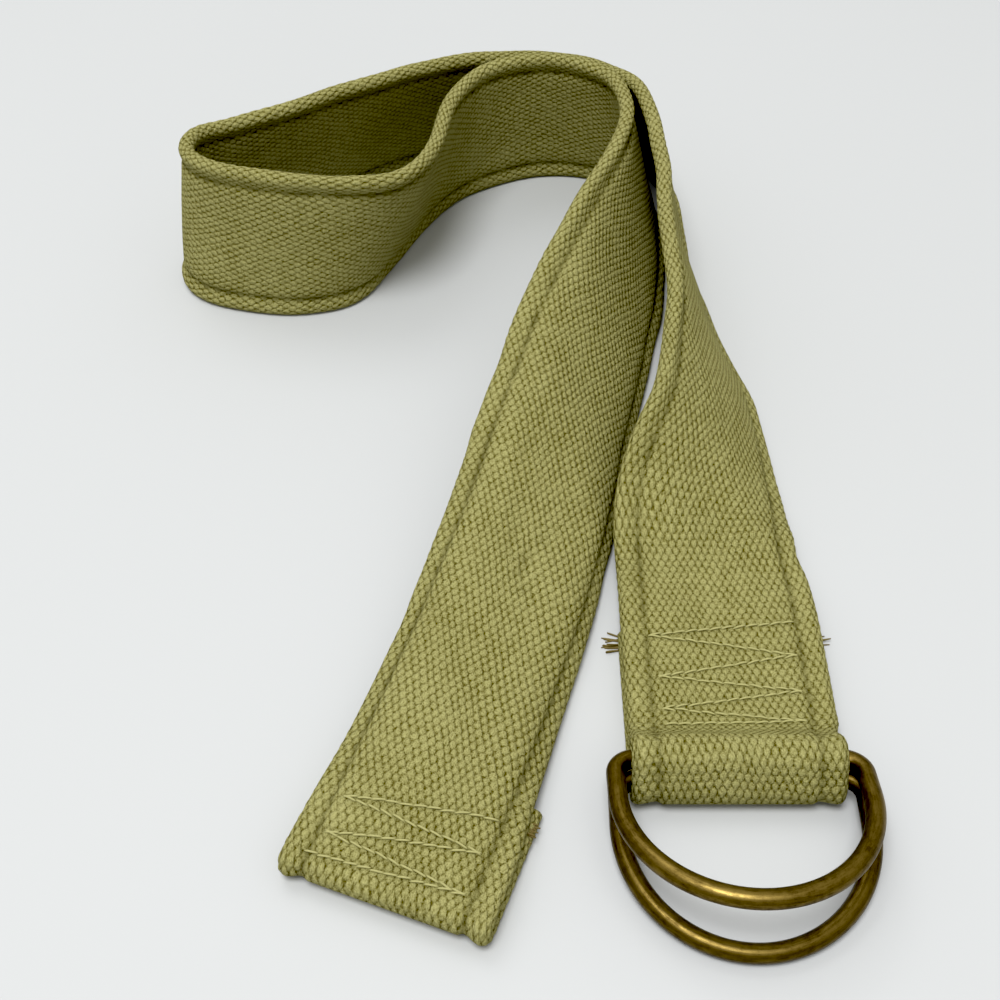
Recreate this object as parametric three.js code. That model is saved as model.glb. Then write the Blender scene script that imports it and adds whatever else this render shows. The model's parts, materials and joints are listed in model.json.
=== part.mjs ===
// A belt of flat cotton webbing with a pair of D rings, lying loosely on a flat surface.
// One strip of webbing with round selvedge rims runs from a tongue that is folded round the
// straight bars of both rings, up on to its edge, round a loop and a bend, and back down to a
// flat tail end that is turned under once. Millimetres, +Z up, +Y away from the ring end.
import * as THREE from 'three';

// Webbing
const WEBBING_WIDTH = 38;
const WEBBING_THICKNESS = 2.4;
const RIM_DIAMETER = 3.6;
const GROOVE_INSET = 4.6;
const GROOVE_DEPTH = 0.5;
const WEBBING_LENGTH = 750;
const TONGUE_LENGTH = 34;
const TURN_UNDER_LENGTH = 23;
const PLY_GAP = 0.3;
const STRAND_GAP = 1.1;

// D rings
const RING_WIDTH = 46.4;
const RING_DEPTH = 34.3;
const RING_WIRE = 3.4;
const RING_CORNER_RADIUS = 3.6;
const RING_ARM_LENGTH = 5;
const UPPER_RING_LIFT_DEGREES = 13.5;
const RING_CLEARANCE = 0.3;

// The fold that holds the rings. Its front leans back, with the upper bar behind the lower one,
// and the rings and the fold have slid a little sideways on each other.
const FOLD_WIDTH = 37.2;
const FOLD_LEAN = 34;
const FOLD_SLOPE = 50;
const FOLD_FILLET_RADIUS = 5;
const FOLD_SIDE_SHIFT = -0.7;
const UPPER_RING_SIDE_SHIFT = -0.6;
const LOWER_RING_SIDE_SHIFT = -0.15;

// How finely the forms are stepped
const STRAND_STEP = 4.2;
const FOLD_STEP_DEGREES = 20;
const RIM_STEP_DEGREES = 50;
const RIM_STEPS = 2;
const BEND_SLICES = 8;
const WIRE_SIDES = 12;
const RING_CORNER_STEPS = 3;
const RING_ARC_STEPS = 36;
const SPLINE_SAMPLES_PER_ROW = 24;
const REACH_SEARCH_STEPS = 40;
const LENGTH_TOLERANCE = 1e-6;

// Directions round a bar in the fold's plane, in degrees
const AWAY_FROM_RINGS = 0;
const UPWARDS = AWAY_FROM_RINGS + 90;
const TOWARDS_RINGS = UPWARDS + 90;
const DOWNWARDS = TOWARDS_RINGS + 90;

// How the strap lies, from where it leaves the sewn fold to its tail end.
// x: to the side, in webbing widths. y: away from the fold, as a share of the strap's reach.
// roll: turn of the strip about its own run, 0 flat with face up, 90 on edge, 180 face down.
// droop: how far both edges bend down, in degrees. ply: 1 where another ply lies beneath.
// press: 1 where the rims are pressed as thin as the webbing. nest: 1 where the strand lies
// outside another one, whose thickness then moves it outwards.
const LAY_COLUMNS = ['x', 'y', 'roll', 'droop', 'ply', 'press', 'nest'];
const LAY = [
  [0.00, 0.000, 0, 0, 1, 1, 0],
  [0.00, 0.060, 0, 0, 1, 0.9, 0],
  [0.00, 0.130, 0, 0, 0.9, 0.6, 0],
  [0.00, 0.200, 2, 10, 0.2, 0.2, 0],
  [-0.03, 0.255, 17, 55, 0, 0, 0],
  [0.06, 0.320, 41, 25, 0, 0, 0],
  [0.11, 0.410, 52, 5, 0, 0, 0],
  [0.08, 0.510, 62, 0, 0, 0, 0],
  [-0.01, 0.570, 67, 0, 0, 0, 0.3],
  [-0.06, 0.630, 70, 0, 0, 0, 0.6],
  [-0.14, 0.690, 75, 0, 0, 0, 1],
  [-0.15, 0.760, 76, 0, 0, 0, 1],
  [-0.16, 0.840, 75, 0, 0, 0, 1],
  [-0.20, 0.910, 70, 0, 0, 0, 1],
  [-0.34, 0.955, 67, 0, 0, 0, 1],
  [-0.58, 0.984, 66, 0, 0, 0, 1],
  [-0.86, 0.994, 66, 0, 0, 0, 1],
  [-1.14, 0.988, 68, 0, 0, 0, 1],
  [-1.42, 0.972, 70, 0, 0, 0, 0.8],
  [-1.74, 0.948, 72, 0, 0, 0, 0.5],
  [-2.10, 0.909, 74, 0, 0, 0, 0.1],
  [-2.50, 0.851, 76, 0, 0, 0, 0],
  [-2.88, 0.803, 78, 0, 0, 0, 0],
  [-3.09, 0.769, 81, 0, 0, 0, 0],
  [-3.07, 0.705, 83, 0, 0, 0, 0],
  [-2.75, 0.672, 82, 0, 0, 0, 0],
  [-2.34, 0.657, 86, 0, 0, 0, 0],
  [-2.04, 0.664, 94, 0, 0, 0, 0],
  [-1.80, 0.690, 107, 0, 0, 0, 0],
  [-1.66, 0.750, 111, 0, 0, 0, 0],
  [-1.57, 0.810, 105, 0, 0, 0, 0],
  [-1.48, 0.870, 99, 0, 0, 0, 0],
  [-1.22, 0.935, 95, 0, 0, 0, 0],
  [-0.90, 0.960, 95, 0, 0, 0, 0],
  [-0.60, 0.961, 98, 0, 0, 0, 0],
  [-0.30, 0.927, 103, 0, 0, 0, 0],
  [-0.17, 0.860, 103, 0, 0, 0, 0],
  [-0.20, 0.770, 108, 5, 0, 0, 0],
  [-0.30, 0.690, 119, 15, 0, 0, 0],
  [-0.42, 0.600, 129, 40, 0, 0, 0],
  [-0.55, 0.510, 139, 65, 0, 0, 0],
  [-0.72, 0.380, 147, 92, 0, 0, 0],
  [-0.87, 0.250, 157, 98, 0, 0, 0],
  [-1.08, 0.120, 167, 97, 0, 0, 0],
  [-1.285, 0.000, 174, 94, 0.2, 0.1, 0],
  [-1.455, -0.098, 179, 65, 1, 0.4, 0],
  [-1.595, -0.174, 180, 0, 1, 0.3, 0],
];

const UP = new THREE.Vector3(0, 0, 1);
const halfThickness = WEBBING_THICKNESS / 2;
const wireRadius = RING_WIRE / 2;
const loopRadius = wireRadius + RING_CLEARANCE + halfThickness;
const barPitch = RING_WIRE + RING_CLEARANCE;
const nestPitch = RIM_DIAMETER + STRAND_GAP;

// Plain numbers and small helpers

function radians(degrees) {
  return THREE.MathUtils.degToRad(degrees);
}

function rimRadius(press) {
  return THREE.MathUtils.lerp(RIM_DIAMETER / 2, halfThickness, press);
}

function plyPitch(press) {
  return 2 * rimRadius(press) + PLY_GAP;
}

// A smooth curve led by the rows: a uniform cubic B-spline that starts on the first row and
// ends on the last one.
function layAt(t) {
  const last = LAY.length - 1;
  const row = Math.min(Math.floor(t), last - 1);
  const u = t - row;
  const weights = [
    (1 - u) ** 3 / 6,
    (3 * u ** 3 - 6 * u ** 2 + 4) / 6,
    (-3 * u ** 3 + 3 * u ** 2 + 3 * u + 1) / 6,
    u ** 3 / 6,
  ];
  const result = {};
  LAY_COLUMNS.forEach((name, column) => {
    const value = (index) => {
      if (index < 0) return 2 * LAY[0][column] - LAY[1][column];
      if (index > last) return 2 * LAY[last][column] - LAY[last - 1][column];
      return LAY[index][column];
    };
    result[name] = weights.reduce((sum, weight, k) => sum + weight * value(row - 1 + k), 0);
  });
  return result;
}

// The strap's middle line in plan for a given reach, with each sample's heading and nesting
function planSamples(reach) {
  const count = (LAY.length - 1) * SPLINE_SAMPLES_PER_ROW;
  const samples = [];
  for (let i = 0; i <= count; i += 1) {
    const lay = layAt(i / SPLINE_SAMPLES_PER_ROW);
    lay.plan = new THREE.Vector3(lay.x * WEBBING_WIDTH, lay.y * reach, 0);
    samples.push(lay);
  }
  const moved = samples.map((lay, i) => {
    const before = samples[Math.max(i - 1, 0)].plan;
    const after = samples[Math.min(i + 1, count)].plan;
    const heading = after.clone().sub(before).normalize();
    const right = heading.clone().cross(UP);
    return lay.plan.clone().addScaledVector(right, lay.nest * nestPitch);
  });
  samples.forEach((lay, i) => {
    lay.plan = moved[i];
  });
  return samples;
}

function runLength(points) {
  let length = 0;
  for (let i = 1; i < points.length; i += 1) {
    length += points[i].distanceTo(points[i - 1]);
  }
  return length;
}

// The fold round the rings, in its own plane: y away from the rings, z up. The strip comes
// forward along the surface, turns up round the lower bar, leans back over the upper one,
// slopes down and flattens on to its own tongue. The third value is 1 within the fold and
// eases to 0 where the free strand begins.
function ringFold() {
  const lean = radians(FOLD_LEAN);
  const slope = radians(FOLD_SLOPE);
  const lowerZ = halfThickness + loopRadius;
  const upperY = barPitch * Math.sin(lean);
  const upperZ = lowerZ + barPitch * Math.cos(lean);
  const topPlyZ = halfThickness + plyPitch(1);
  const filletDrop = FOLD_FILLET_RADIUS * (1 - Math.cos(slope));
  const drop = upperZ + loopRadius * Math.cos(slope) - topPlyZ - filletDrop;
  const slopeRun = drop / Math.tan(slope);
  const strandY = upperY + (loopRadius + FOLD_FILLET_RADIUS) * Math.sin(slope) + slopeRun;
  const path = [];
  const arc = (centreY, centreZ, radius, from, to, within) => {
    const steps = Math.ceil(Math.abs(to - from) / FOLD_STEP_DEGREES);
    for (let i = 0; i <= steps; i += 1) {
      const angle = radians(from + ((to - from) * i) / steps);
      path.push([
        centreY + radius * Math.cos(angle),
        centreZ + radius * Math.sin(angle),
        within(i / steps),
      ]);
    }
  };
  const tongueSteps = Math.ceil(TONGUE_LENGTH / STRAND_STEP);
  for (let i = 0; i < tongueSteps; i += 1) {
    path.push([TONGUE_LENGTH * (1 - i / tongueSteps), halfThickness, 1]);
  }
  const front = TOWARDS_RINGS - FOLD_LEAN;
  const filletZ = topPlyZ + FOLD_FILLET_RADIUS;
  arc(0, lowerZ, loopRadius, DOWNWARDS, front, () => 1);
  arc(upperY, upperZ, loopRadius, front, UPWARDS - FOLD_SLOPE, () => 1);
  arc(strandY, filletZ, FOLD_FILLET_RADIUS, DOWNWARDS - FOLD_SLOPE, DOWNWARDS, (share) => 1 - share);
  return { path, lowerZ, upperY, upperZ, strandY };
}

// The cross-section of the webbing as a closed outline of [across, height] points, with a
// round rim at each edge, a groove beside it, and both edges bent down by the droop
function webbingSection({ width, press, bend }) {
  const radius = rimRadius(press);
  const rimCentre = width / 2 - radius;
  const grooveAcross = width / 2 - GROOVE_INSET;
  const lipAcross = grooveAcross - 2 * GROOVE_DEPTH;
  const side = [];
  for (let i = 0; i <= RIM_STEPS; i += 1) {
    const angle = radians(i * RIM_STEP_DEGREES);
    side.push([rimCentre + radius * Math.cos(angle), radius * Math.sin(angle)]);
  }
  side.push([grooveAcross, halfThickness - GROOVE_DEPTH]);
  side.push([lipAcross, halfThickness]);
  side.push([lipAcross / 2, halfThickness]);
  side.push([0, halfThickness]);
  const upper = side.concat(side.slice(0, -1).reverse().map(([across, height]) => [-across, height]));
  const lower = upper.slice(1, -1).reverse().map(([across, height]) => [across, -height]);
  return upper.concat(lower).map(([across, height]) => bentPoint(across, height, bend));
}

// Bending grows with the cube of the distance from the middle, so the middle stays flat
function bentPoint(across, height, bendDegrees) {
  const half = WEBBING_WIDTH / 2;
  const share = Math.abs(across) / half;
  const bend = radians(bendDegrees);
  const slice = (share * half) / BEND_SLICES;
  let along = 0;
  let down = 0;
  for (let i = 0; i < BEND_SLICES; i += 1) {
    const middle = (share * (i + 0.5)) / BEND_SLICES;
    const angle = bend * middle ** 3;
    along += slice * Math.cos(angle);
    down += slice * Math.sin(angle);
  }
  const tilt = bend * share ** 3;
  return [
    Math.sign(across) * (along + height * Math.sin(tilt)),
    height * Math.cos(tilt) - down,
  ];
}

// Every section of the strip in order, each with its place, its direction across and the
// direction out of its face
function webbingStations() {
  const fold = ringFold();
  const stations = [];
  for (const [y, z, within] of fold.path) {
    stations.push({
      place: new THREE.Vector3(FOLD_SIDE_SHIFT * within, y - fold.strandY, z),
      across: new THREE.Vector3(-1, 0, 0),
      width: THREE.MathUtils.lerp(WEBBING_WIDTH, FOLD_WIDTH, within),
      press: 1,
      bend: 0,
    });
  }
  const foldLength = runLength(stations.map((station) => station.place));
  const turnRadius = plyPitch(layAt(LAY.length - 1).press) / 2;
  const strandLength = WEBBING_LENGTH - foldLength - TURN_UNDER_LENGTH - Math.PI * turnRadius;

  // The reach that uses up the strap's length
  let low = 0;
  let high = strandLength;
  for (let i = 0; i < REACH_SEARCH_STEPS; i += 1) {
    const middle = (low + high) / 2;
    const length = runLength(planSamples(middle).map((lay) => lay.plan));
    if (length > strandLength) high = middle;
    else low = middle;
  }
  const samples = planSamples(low);

  // Even steps along the strand
  const steps = Math.round(strandLength / STRAND_STEP);
  let travelled = 0;
  let next = 1;
  for (let i = 1; i < samples.length; i += 1) {
    const step = samples[i].plan.distanceTo(samples[i - 1].plan);
    const reached = travelled + step + LENGTH_TOLERANCE;
    while (next <= steps && (next * strandLength) / steps <= reached) {
      const share = ((next * strandLength) / steps - travelled) / step;
      stations.push(strandStation(samples, i, share));
      next += 1;
    }
    travelled += step;
  }

  // The tail end turns under and runs back below itself
  const end = stations[stations.length - 1];
  const before = stations[stations.length - 2];
  const heading = end.place.clone().sub(before.place).setZ(0).normalize();
  const turn = (angle) => end.place.clone()
    .addScaledVector(heading, turnRadius * Math.sin(angle))
    .addScaledVector(UP, turnRadius * (Math.cos(angle) - 1));
  const turnSteps = 180 / FOLD_STEP_DEGREES;
  for (let i = 1; i <= turnSteps; i += 1) {
    const angle = (Math.PI * i) / turnSteps;
    stations.push({ ...end, place: turn(angle), bend: end.bend * Math.cos(angle) });
  }
  const under = stations[stations.length - 1];
  const underSteps = Math.round(TURN_UNDER_LENGTH / STRAND_STEP);
  for (let i = 1; i <= underSteps; i += 1) {
    const back = (TURN_UNDER_LENGTH * i) / underSteps;
    stations.push({ ...under, place: under.place.clone().addScaledVector(heading, -back) });
  }
  return { stations, fold };
}

// One section of the free strand, between two samples, standing on the surface
function strandStation(samples, index, share) {
  const a = samples[index - 1];
  const b = samples[index];
  const mix = (name) => THREE.MathUtils.lerp(a[name], b[name], share);
  const heading = b.plan.clone().sub(a.plan).normalize();
  const left = UP.clone().cross(heading);
  const roll = radians(mix('roll'));
  const across = left.multiplyScalar(Math.cos(roll)).addScaledVector(UP, Math.sin(roll));
  // Past the upright, the strip's face looks down and its edges bend the other way
  const bend = mix('droop') * Math.sign(Math.cos(roll));
  const press = mix('press');
  const out = heading.clone().cross(across);
  const station = { across, width: WEBBING_WIDTH, press, bend };
  const lowest = Math.min(...webbingSection(station).map(
    ([over, height]) => over * across.z + height * out.z,
  ));
  station.place = a.plan.clone().lerp(b.plan, share);
  station.place.z = mix('ply') * plyPitch(press) - lowest;
  return station;
}

// A closed skin through rings of points, with both ends filled
function skin(rings) {
  const sides = rings[0].length;
  const positions = rings.flat().flatMap((point) => [point.x, point.y, point.z]);
  const index = [];
  for (let i = 0; i + 1 < rings.length; i += 1) {
    for (let k = 0; k < sides; k += 1) {
      const a = i * sides + k;
      const b = i * sides + ((k + 1) % sides);
      index.push(a, b, b + sides, a, b + sides, a + sides);
    }
  }
  return { positions, index, sides };
}

function webbingGeometry(stations) {
  const rings = stations.map((station, i) => {
    const before = stations[Math.max(i - 1, 0)].place;
    const after = stations[Math.min(i + 1, stations.length - 1)].place;
    const run = after.clone().sub(before).normalize();
    const across = station.across.clone().addScaledVector(run, -station.across.dot(run)).normalize();
    const out = run.clone().cross(across);
    return webbingSection(station).map(([over, height]) => station.place.clone()
      .addScaledVector(across, over)
      .addScaledVector(out, height));
  });
  const { positions, index, sides } = skin(rings);
  const outline = webbingSection(stations[0]).map(([over, height]) => new THREE.Vector2(over, height));
  const cap = THREE.ShapeUtils.triangulateShape(outline, []);
  const lastRing = (rings.length - 1) * sides;
  for (const [a, b, c] of cap) {
    index.push(a, c, b);
    index.push(lastRing + a, lastRing + b, lastRing + c);
  }
  return indexed(positions, index);
}

function indexed(positions, index) {
  const geometry = new THREE.BufferGeometry();
  geometry.setAttribute('position', new THREE.Float32BufferAttribute(positions, 3));
  geometry.setIndex(index);
  geometry.computeVertexNormals();
  return geometry;
}

// A D ring of round wire, its straight bar along X through the origin and its bow towards -Y
function ringGeometry() {
  const halfWidth = (RING_WIDTH - RING_WIRE) / 2;
  const depth = RING_DEPTH - RING_WIRE;
  const corner = RING_CORNER_RADIUS;
  const bowStart = corner + RING_ARM_LENGTH;
  const path = [];
  for (let i = 0; i <= RING_CORNER_STEPS; i += 1) {
    const angle = radians(90 - (90 * i) / RING_CORNER_STEPS);
    path.push([halfWidth - corner + corner * Math.cos(angle), corner * Math.sin(angle) - corner]);
  }
  for (let i = 0; i <= RING_ARC_STEPS; i += 1) {
    const angle = radians((180 * i) / RING_ARC_STEPS);
    path.push([halfWidth * Math.cos(angle), -bowStart - (depth - bowStart) * Math.sin(angle)]);
  }
  for (let i = 0; i <= RING_CORNER_STEPS; i += 1) {
    const angle = radians(180 - (90 * i) / RING_CORNER_STEPS);
    path.push([corner - halfWidth + corner * Math.cos(angle), corner * Math.sin(angle) - corner]);
  }
  const points = path.map(([x, y]) => new THREE.Vector3(x, y, 0));
  const rings = points.map((point, i) => {
    const before = points[(i + points.length - 1) % points.length];
    const after = points[(i + 1) % points.length];
    const run = after.clone().sub(before).normalize();
    const side = UP.clone().cross(run);
    const sides = [];
    for (let k = 0; k < WIRE_SIDES; k += 1) {
      const angle = (2 * Math.PI * (k + 0.5)) / WIRE_SIDES;
      sides.push(point.clone()
        .addScaledVector(side, wireRadius * Math.cos(angle))
        .addScaledVector(UP, wireRadius * Math.sin(angle)));
    }
    return sides;
  });
  const { positions, index, sides } = skin(rings);
  const last = (rings.length - 1) * sides;
  for (let k = 0; k < sides; k += 1) {
    const next = (k + 1) % sides;
    index.push(last + k, last + next, next, last + k, next, k);
  }
  return indexed(positions, index);
}

// The belt as it lies: the strip, and both rings on their bars inside the fold

const { stations, fold } = webbingStations();

const cotton = new THREE.MeshStandardMaterial({ color: 0x9c9a5f, roughness: 0.95, metalness: 0 });
const webbing = new THREE.Mesh(webbingGeometry(stations), cotton);
webbing.name = 'webbing';

function makeRing({ name, side, away, height, lift, colour }) {
  const metal = new THREE.MeshStandardMaterial({ color: colour, roughness: 0.35, metalness: 0.9 });
  const ring = new THREE.Mesh(ringGeometry(), metal);
  ring.name = name;
  ring.position.set(side, away - fold.strandY, height);
  ring.rotation.x = -lift;
  return ring;
}

// The lower ring's bow rests on the surface, the upper one is held up by the tight fold
const lowerRing = makeRing({
  name: 'lower_ring',
  side: LOWER_RING_SIDE_SHIFT,
  away: 0,
  height: fold.lowerZ,
  lift: -Math.asin((fold.lowerZ - wireRadius) / (RING_DEPTH - RING_WIRE)),
  colour: 0x5c4720,
});
const upperRing = makeRing({
  name: 'upper_ring',
  side: UPPER_RING_SIDE_SHIFT,
  away: fold.upperY,
  height: fold.upperZ,
  lift: radians(UPPER_RING_LIFT_DEGREES),
  colour: 0x6b5324,
});

const belt = new THREE.Group();
belt.add(webbing, upperRing, lowerRing);

// The origin is on the surface, below the middle of the whole belt
belt.updateMatrixWorld(true);
const bounds = new THREE.Box3().setFromObject(belt, true);
const middle = bounds.getCenter(new THREE.Vector3());
belt.position.set(-middle.x, -middle.y, -bounds.min.z);

export default belt;
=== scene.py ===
import json
import math

import bpy
import numpy as np
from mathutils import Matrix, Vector


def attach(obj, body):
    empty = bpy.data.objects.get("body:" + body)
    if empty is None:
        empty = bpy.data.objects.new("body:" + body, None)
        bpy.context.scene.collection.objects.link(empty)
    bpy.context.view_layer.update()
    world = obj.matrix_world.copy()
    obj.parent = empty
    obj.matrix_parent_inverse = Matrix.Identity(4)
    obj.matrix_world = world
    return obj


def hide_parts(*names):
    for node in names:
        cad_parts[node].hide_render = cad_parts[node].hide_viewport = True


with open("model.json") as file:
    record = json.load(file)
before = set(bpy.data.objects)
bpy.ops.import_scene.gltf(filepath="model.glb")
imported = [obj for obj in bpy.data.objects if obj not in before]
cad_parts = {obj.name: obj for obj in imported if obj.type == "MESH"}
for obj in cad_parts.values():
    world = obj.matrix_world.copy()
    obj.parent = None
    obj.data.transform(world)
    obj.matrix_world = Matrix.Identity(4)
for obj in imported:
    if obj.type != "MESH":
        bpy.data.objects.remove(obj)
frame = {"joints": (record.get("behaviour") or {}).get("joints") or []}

bl_info = {
    "name": "Double Ring Belt",
    "version": (1, 0, 0),
    "blender": (4, 5, 0),
    "location": "View3D > Sidebar > Belt",
    "description": "Builds a webbing belt with two D rings as it lies on a pale surface",
    "category": "Add Mesh",
}

MM = 1000.0

# How the strap lies, row by row, from where it leaves the sewn fold to its tail end
LAY_COLUMNS = ("x", "y", "roll", "droop", "ply", "press", "nest")
LAY = (
    (0.00, 0.000, 0, 0, 1, 1, 0),
    (0.00, 0.060, 0, 0, 1, 0.9, 0),
    (0.00, 0.130, 0, 0, 0.9, 0.6, 0),
    (0.00, 0.200, 2, 10, 0.2, 0.2, 0),
    (-0.03, 0.255, 17, 55, 0, 0, 0),
    (0.06, 0.320, 41, 25, 0, 0, 0),
    (0.11, 0.410, 52, 5, 0, 0, 0),
    (0.08, 0.510, 62, 0, 0, 0, 0),
    (-0.01, 0.570, 67, 0, 0, 0, 0.3),
    (-0.06, 0.630, 70, 0, 0, 0, 0.6),
    (-0.14, 0.690, 75, 0, 0, 0, 1),
    (-0.15, 0.760, 76, 0, 0, 0, 1),
    (-0.16, 0.840, 75, 0, 0, 0, 1),
    (-0.20, 0.910, 70, 0, 0, 0, 1),
    (-0.34, 0.955, 67, 0, 0, 0, 1),
    (-0.58, 0.984, 66, 0, 0, 0, 1),
    (-0.86, 0.994, 66, 0, 0, 0, 1),
    (-1.14, 0.988, 68, 0, 0, 0, 1),
    (-1.42, 0.972, 70, 0, 0, 0, 0.8),
    (-1.74, 0.948, 72, 0, 0, 0, 0.5),
    (-2.10, 0.909, 74, 0, 0, 0, 0.1),
    (-2.50, 0.851, 76, 0, 0, 0, 0),
    (-2.88, 0.803, 78, 0, 0, 0, 0),
    (-3.09, 0.769, 81, 0, 0, 0, 0),
    (-3.07, 0.705, 83, 0, 0, 0, 0),
    (-2.75, 0.672, 82, 0, 0, 0, 0),
    (-2.34, 0.657, 86, 0, 0, 0, 0),
    (-2.04, 0.664, 94, 0, 0, 0, 0),
    (-1.80, 0.690, 107, 0, 0, 0, 0),
    (-1.66, 0.750, 111, 0, 0, 0, 0),
    (-1.57, 0.810, 105, 0, 0, 0, 0),
    (-1.48, 0.870, 99, 0, 0, 0, 0),
    (-1.22, 0.935, 95, 0, 0, 0, 0),
    (-0.90, 0.960, 95, 0, 0, 0, 0),
    (-0.60, 0.961, 98, 0, 0, 0, 0),
    (-0.30, 0.927, 103, 0, 0, 0, 0),
    (-0.17, 0.860, 103, 0, 0, 0, 0),
    (-0.20, 0.770, 108, 5, 0, 0, 0),
    (-0.30, 0.690, 119, 15, 0, 0, 0),
    (-0.42, 0.600, 129, 40, 0, 0, 0),
    (-0.55, 0.510, 139, 65, 0, 0, 0),
    (-0.72, 0.380, 147, 92, 0, 0, 0),
    (-0.87, 0.250, 157, 98, 0, 0, 0),
    (-1.08, 0.120, 167, 97, 0, 0, 0),
    (-1.285, 0.000, 174, 94, 0.2, 0.1, 0),
    (-1.455, -0.098, 179, 65, 1, 0.4, 0),
    (-1.595, -0.174, 180, 0, 1, 0.3, 0),
)

# Corners of the zigzag seams: across the strip from its middle, and along it, in millimetres.
# The ring end counts from the end of the fold, the tail end back from its turned edge.
RING_END_SEAM = (
    (13.9, 22.3), (-13.9, 19.2), (13.5, 14.5), (-12.8, 9.7),
    (13.3, 6.5), (-12.6, 2.6), (13.2, -0.6), (-12.2, -1.6),
)
TAIL_END_SEAM = (
    (13.4, 15.8), (-12.4, 11.2), (12.8, 9.4), (-13.0, 4.7), (13.0, 2.4), (-15.0, 0.5),
)


class WebbingSettings(bpy.types.PropertyGroup):
    """Sizes of the webbing in metres, and its colours"""

    width: bpy.props.FloatProperty(
        name="Width", description="Width of the webbing", default=0.038, unit="LENGTH")
    thickness: bpy.props.FloatProperty(
        name="Thickness", description="Thickness between the rims", default=0.0024, unit="LENGTH")
    rim_diameter: bpy.props.FloatProperty(
        name="Rim Diameter", description="Diameter of the round edges", default=0.0036, unit="LENGTH")
    groove_inset: bpy.props.FloatProperty(
        name="Groove Inset", description="Distance of the groove from the edge", default=0.0046,
        unit="LENGTH")
    groove_depth: bpy.props.FloatProperty(
        name="Groove Depth", description="Depth of the groove beside each rim", default=0.0005,
        unit="LENGTH")
    length: bpy.props.FloatProperty(
        name="Length", description="Cut length of the strap", default=0.75, unit="LENGTH")
    tongue: bpy.props.FloatProperty(
        name="Tongue", description="Length folded back under the ring end", default=0.034,
        unit="LENGTH")
    turn_under: bpy.props.FloatProperty(
        name="Turn Under", description="Length turned under at the tail", default=0.023,
        unit="LENGTH")
    step: bpy.props.FloatProperty(
        name="Step", description="Spacing of the sections along the strap", default=0.00056,
        unit="LENGTH")
    # Dark Yarn and Pale Yarn give the cotton's own tone and also the painted shade between the yarn
    # tops
    dark: bpy.props.FloatVectorProperty(
        name="Dark Yarn", description="Colour of the cotton between the yarn tops",
        default=(0.106, 0.090, 0.010), subtype="COLOR", min=0, max=1)
    pale: bpy.props.FloatVectorProperty(
        name="Pale Yarn", description="Colour of the cotton on the yarn tops",
        default=(0.47, 0.45, 0.195), subtype="COLOR", min=0, max=1)
    thread: bpy.props.FloatVectorProperty(
        name="Thread", description="Colour of the sewing thread",
        default=(0.46, 0.44, 0.19), subtype="COLOR", min=0, max=1)
    loose_yarn: bpy.props.FloatVectorProperty(
        name="Loose Yarn", description="Colour of the cut yarn ends",
        default=(0.19, 0.145, 0.045), subtype="COLOR", min=0, max=1)


class RingSettings(bpy.types.PropertyGroup):
    """Sizes of the rings in metres, and their colours"""

    wire: bpy.props.FloatProperty(
        name="Wire", description="Diameter of the wire", default=0.0034, unit="LENGTH")
    width: bpy.props.FloatProperty(
        name="Ring Width", description="Outer width of a ring", default=0.0464, unit="LENGTH")
    depth: bpy.props.FloatProperty(
        name="Ring Depth", description="Outer depth of a ring", default=0.0343, unit="LENGTH")
    corner: bpy.props.FloatProperty(
        name="Corner Radius", description="Radius where the bar meets the arms", default=0.0036,
        unit="LENGTH")
    arm: bpy.props.FloatProperty(
        name="Arm Length", description="Straight part between corner and bow", default=0.005,
        unit="LENGTH")
    lift: bpy.props.FloatProperty(
        name="Upper Ring Lift", description="How far the fold holds the upper ring up",
        default=math.radians(13.5), subtype="ANGLE")
    patina: bpy.props.FloatVectorProperty(
        name="Patina", description="Colour of the dark patina",
        default=(0.034, 0.021, 0.008), subtype="COLOR", min=0, max=1)
    # Worn Metal also shows in the painted highlight band round the wire
    worn: bpy.props.FloatVectorProperty(
        name="Worn Metal", description="Colour of the metal where the patina is worn off",
        default=(0.22, 0.158, 0.048), subtype="COLOR", min=0, max=1)


class StageSettings(bpy.types.PropertyGroup):
    """The surface and the camera"""

    camera_height: bpy.props.FloatProperty(
        name="Camera Height", description="Height of the lens above the surface", default=0.2162,
        unit="LENGTH")
    camera_pitch: bpy.props.FloatProperty(
        name="Camera Pitch", description="How far down the camera looks", default=math.radians(47),
        subtype="ANGLE")
    lens: bpy.props.FloatProperty(
        name="Lens", description="Focal length", default=50.4, unit="CAMERA")
    floor_size: bpy.props.FloatProperty(
        name="Floor Size", description="Side of the pale surface", default=8.0, unit="LENGTH")
    floor_dim: bpy.props.FloatVectorProperty(
        name="Floor Dim", description="Colour of the darker clouds of the surface",
        default=(0.525, 0.54, 0.552), subtype="COLOR", min=0, max=1)
    floor_pale: bpy.props.FloatVectorProperty(
        name="Floor Pale", description="Colour of the paler clouds of the surface",
        default=(0.55, 0.565, 0.577), subtype="COLOR", min=0, max=1)


# Shading: one small class lets node sockets be used in sums


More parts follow.
